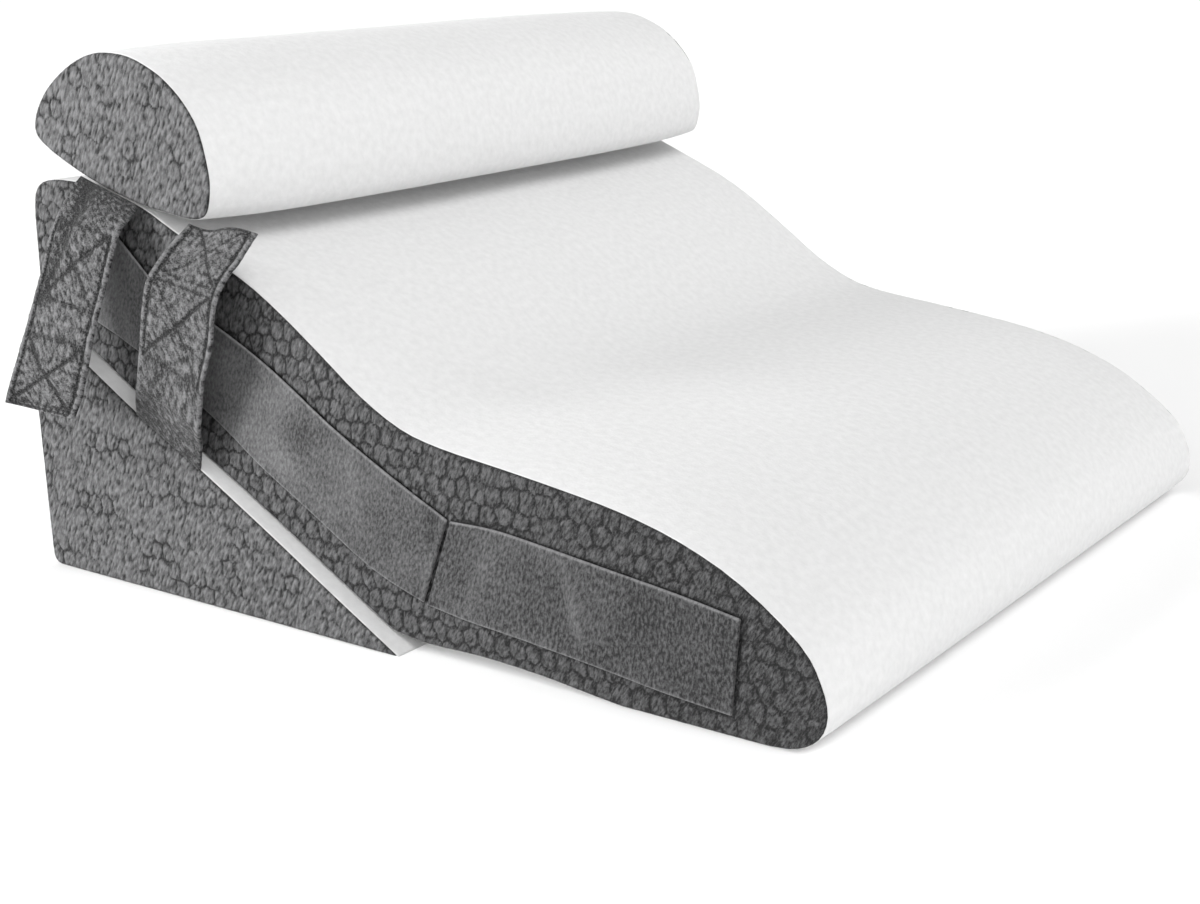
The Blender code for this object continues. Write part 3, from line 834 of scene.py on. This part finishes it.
# The soft folds in mm, darkened by painted shade: start and end across and along, then half
# width and depth.
BOLSTER_STRAP_HOLLOWS = ((14.0, 2.0, 22.0, 34.0, 8.0, 2.4), (22.0, 34.0, 13.0, 84.0, 7.0, 2.2))
WEDGE_STRAP_HOLLOWS = ((12.0, 22.0, 22.0, 58.0, 7.0, 1.2),)


def strap_section(rows, along):
    """The strap's section at a share of its length, smoothed between the table's rows."""
    place = along * (len(rows) - 1)
    i = min(int(place), len(rows) - 2)
    before, start = Vector(rows[max(i - 1, 0)]), Vector(rows[i])
    end, after = Vector(rows[i + 1]), Vector(rows[min(i + 2, len(rows) - 1)])
    t = place - i
    return (start * (2 * t**3 - 3 * t**2 + 1) + (end - before) / 2 * (t**3 - 2 * t**2 + t)
            + end * (3 * t**2 - 2 * t**3) + (after - start) / 2 * (t**3 - t**2))


def strap_middle(rows, side, across, along):
    """A point of the strap's middle surface and the way it faces, in metres."""
    strap = strap_section(rows, along)
    head, foot = Vector(strap[0:3]), Vector(strap[3:6])
    bow, wave = strap[6:8]
    onward = -SLOPE_STEP if along > 0.5 else SLOPE_STEP
    run = (Vector(strap_section(rows, along + onward)[0:3]) - head) / onward
    proud = (foot - head).cross(run).normalized()
    ripple = bow * 4 * across * (1 - across) + wave * math.sin(2 * math.pi * across)
    x, out, z = head.lerp(foot, across) + proud * ripple
    return (Vector((WEDGE_BACK_X + x * MM, side * (WEDGE_SIDE_Y + out * MM), z * MM)),
            Vector((proud.x, side * proud.y, proud.z)))


def sewn_lines(squares, length):
    """The rows of stitching in metres, each with its pull: the squares' ends and crosses,
    and a row beside each long edge and the free end."""
    lines = []
    for left, right, start, end, to_left, to_right in squares:
        corners = [Vector((left, start)), Vector((right, start)),
                   Vector((right, end)), Vector((left, end))]
        lines.append((corners[0] * MM, corners[1] * MM, SQUARE_PULLS[0]))
        lines.append((corners[3] * MM, corners[2] * MM, SQUARE_PULLS[1]))
        lines.append((corners[3] * MM, corners[1] * MM, to_left))
        lines.append((corners[0] * MM, corners[2] * MM, to_right))
    first = squares[0][2] * MM
    last = length - END_ROW_IN
    left, right = EDGE_ROW_IN, STRAP_WIDE - EDGE_ROW_IN
    lines.append((Vector((left, first)), Vector((left, last)), EDGE_PULLS[0]))
    lines.append((Vector((right, first)), Vector((right, last)), EDGE_PULLS[1]))
    lines.append((Vector((left, last)), Vector((right, last)), EDGE_PULLS[2]))
    return lines


def beside_line(spot, start, end):
    """How far along a line the point nearest to a spot is, and how far off the spot is."""
    run = end - start
    share = min(max((spot - start).dot(run) / run.length_squared, 0.0), 1.0)
    return share * run.length, (spot - start - run * share).length


STITCH_PITCH = 3.4 * MM
STITCH_LENGTH = 2.4 * MM
THREAD_HALF = 0.26 * MM


def add_strap(name, rows, side, squares, hollows, lean, seed, material, thread):
    """A doubled, stitched strap on the CAD strap's sections, with its stitches. hollows are
    soft folds with painted shade in them: start and end across and along, half width and
    depth in mm. lean is 1 where the wrinkles drop towards the foot side along the strap,
    and -1 where they rise."""
    samples = [strap_middle(rows, side, 0.5, i / LENGTH_SAMPLES)[0]
               for i in range(LENGTH_SAMPLES + 1)]
    length = sum((end - start).length for start, end in zip(samples, samples[1:]))
    lines = sewn_lines(squares, length)

    def place(across, along, face):
        middle, proud = strap_middle(rows, side, across, along)
        spot = Vector((across * STRAP_WIDE, along * length))
        rim = min(spot.x, STRAP_WIDE - spot.x, length - spot.y)
        rounding = math.sqrt(max(0.0, 1 - (1 - min(rim / STRAP_ROUNDING, 1.0)) ** 2))
        sewn, pucker, off = 0.0, 0.0, 1.0
        for number, (start, end, pull) in enumerate(lines):
            run, gap = beside_line(spot, start, end)
            off = min(off, gap)
            if gap < 3 * PUCKER_REACH:
                sewn = max(sewn, pull * math.exp(-(gap / SEWN_WIDTH) ** 2))
                pucker += pull * math.exp(-gap / PUCKER_REACH) * noise.noise(
                    Vector((run / PUCKER_PITCH, number * NOISE_STEP, seed)))
        rolled = 0.0
        if spot.y > ROLLED_FROM:
            rolled = math.sin(math.pi * min(rim / EDGE_ROW_IN, 1.0))
        over = (WRINKLE_DROP * lean * spot.y + spot.x) / WRINKLE_LONG
        down = (spot.y - WRINKLE_DROP * lean * spot.x) / WRINKLE_PITCH
        wrinkle = noise.noise(Vector((over, down, seed + 3.0)))
        crumple = noise.noise(Vector((spot.x * CRUMPLES_PER_METRE[0],
                                      spot.y * CRUMPLES_PER_METRE[1], seed + 4.0)))
        puff = 1 - math.exp(-(off / PUFF_REACH) ** 2)
        relief = (ROLLED_RISE * rolled + PUFF_RISE * puff + PUCKER_RISE * pucker
                  + WRINKLE_RISE * wrinkle + CRUMPLE_RISE * crumple)
        relief *= rounding * min(1.0, RELIEF_AT_SEAM + spot.y / RELIEF_RUN)
        relief *= 1.0 if face else INNER_RELIEF
        edge_share = STRAP_EDGE_SHARE + (1 - STRAP_EDGE_SHARE) * rounding
        half = STRAP_HALF_THICKNESS * edge_share + relief * MM
        half -= SEWN_DEPTH * sewn * rounding
        sway = SWAY_DEPTH * noise.noise(Vector((spot.x * SWAYS_PER_METRE[0],
                                                spot.y * SWAYS_PER_METRE[1], seed + 7.0)))
        hollow = 0.0
        for from_x, from_y, to_x, to_y, wide, deep in hollows:
            _, gap = beside_line(spot, Vector((from_x, from_y)) * MM, Vector((to_x, to_y)) * MM)
            hollow = max(hollow, deep * math.exp(-(gap / (wide * MM)) ** 2))
        sway -= hollow * MM
        sway *= min(1.0, spot.y / SWAY_RUN)
        facing = 1.0 if face else -1.0
        point = middle + proud * (sway + facing * max(half, LEAST_HALF))
        point.z = max(point.z, FLOOR_CLEARANCE)
        # Painted shade in troughs, hollows and near the sewn end; painted light and shade on
        # reliefs.
        shaded = max(0.0, 1 - spot.y / SHADED_RUN)
        light = (STRAP_LIGHT + ROLLED_PAINTED_HIGHLIGHT * rolled + PUCKER_PAINTED_SHADING * pucker
                 + WRINKLE_PAINTED_SHADING * wrinkle + CRUMPLE_PAINTED_SHADING * crumple + PUFF_PAINTED_HIGHLIGHT * puff
                 - SEWN_PAINTED_SHADE * sewn - HOLLOW_PAINTED_SHADE * hollow - SEWN_END_PAINTED_SHADE * shaded)
        return point, max(light, 0.0)

    cloth = slab(STRAP_COLUMNS, STRAP_LINES, place, (STRAP_WIDE, length))
    piece = finish_mesh(cloth, name + "_cloth", material)

    bm = bmesh.new()
    for start, end, _ in lines:
        count = max(1, int((end - start).length / STITCH_PITCH))
        direction = (end - start).normalized()
        for i in range(count):
            middle_spot = start.lerp(end, (i + 0.5) / count)
            ends = [middle_spot + direction * reach * STITCH_LENGTH / 2 for reach in (-1, 1)]
            tail, tip = [place(s.x / STRAP_WIDE, min(s.y / length, 1.0), 1)[0] for s in ends]
            turn = (tip - tail).to_track_quat("Z", "Y").to_matrix().to_4x4()
            stretch = Matrix.Diagonal((1.0, 1.0, (tip - tail).length / (2 * THREAD_HALF), 1.0))
            bmesh.ops.create_uvsphere(bm, u_segments=6, v_segments=4, radius=THREAD_HALF,
                                      matrix=Matrix.Translation((tail + tip) / 2) @ turn @ stretch)
    stitches = finish_mesh(bm, name + "_stitches", thread)
    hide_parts(name)


# The straps' knit is the panels' yarn in a flatter cloth. Its shade attribute paints shade
# in its sewn troughs and highlights on the creases and the rolled edges.
strap_knit, tree, shader = new_material("grey_strap_knit", Roughness=0.95, Sheen_Weight=0.08,
                                        Sheen_Roughness=0.5)
KNIT_ACROSS = 1.25 * MM
cloth_place = add_node(tree, "ShaderNodeUVMap", uv_map="cloth").outputs["UV"]
knit = add_node(tree, "ShaderNodeTexNoise", {"Vector": cloth_place, "Scale": 1 / KNIT_ACROSS,
                                             "Detail": 3.0, "Roughness": 0.65},
                noise_dimensions="2D")
colour_by_shade(tree, shader, knit, contrast=0.36, dark="#030304", pale="#727273",
                strength=0.7, depth=0.8 * MM)

# Twisted polyester sewing thread, a little smoother than the knit.
thread, tree, shader = new_material("twisted_polyester_thread", Roughness=0.6)
PLY_ACROSS = 0.5 * MM
plies = add_node(tree, "ShaderNodeTexNoise", {
    "Vector": add_node(tree, "ShaderNodeTexCoord").outputs["Object"], "Scale": 1 / PLY_ACROSS})
tone = add_node(tree, "ShaderNodeMix", {"Factor": plies.outputs["Fac"], "A": paint("#1E1E1F"),
                                        "B": paint("#363637")}, data_type="RGBA")
tree.links.new(tone.outputs["Result"], shader.inputs["Base Color"])

for side, end in ((-1, "near"), (1, "far")):
    add_strap("bolster_strap_" + end, BOLSTER_STRAP_ROWS, side, BOLSTER_STRAP_SQUARES,
              BOLSTER_STRAP_HOLLOWS, 1, 55.0 + 5 * side, strap_knit, thread)
add_strap("wedge_strap_near", WEDGE_STRAP_ROWS, -1, WEDGE_STRAP_SQUARES,
          WEDGE_STRAP_HOLLOWS, -1, 70.0, strap_knit, thread)
add_strap("wedge_strap_far", HANGING_STRAP_ROWS, 1, WEDGE_STRAP_SQUARES,
          WEDGE_STRAP_HOLLOWS, -1, 80.0, strap_knit, thread)
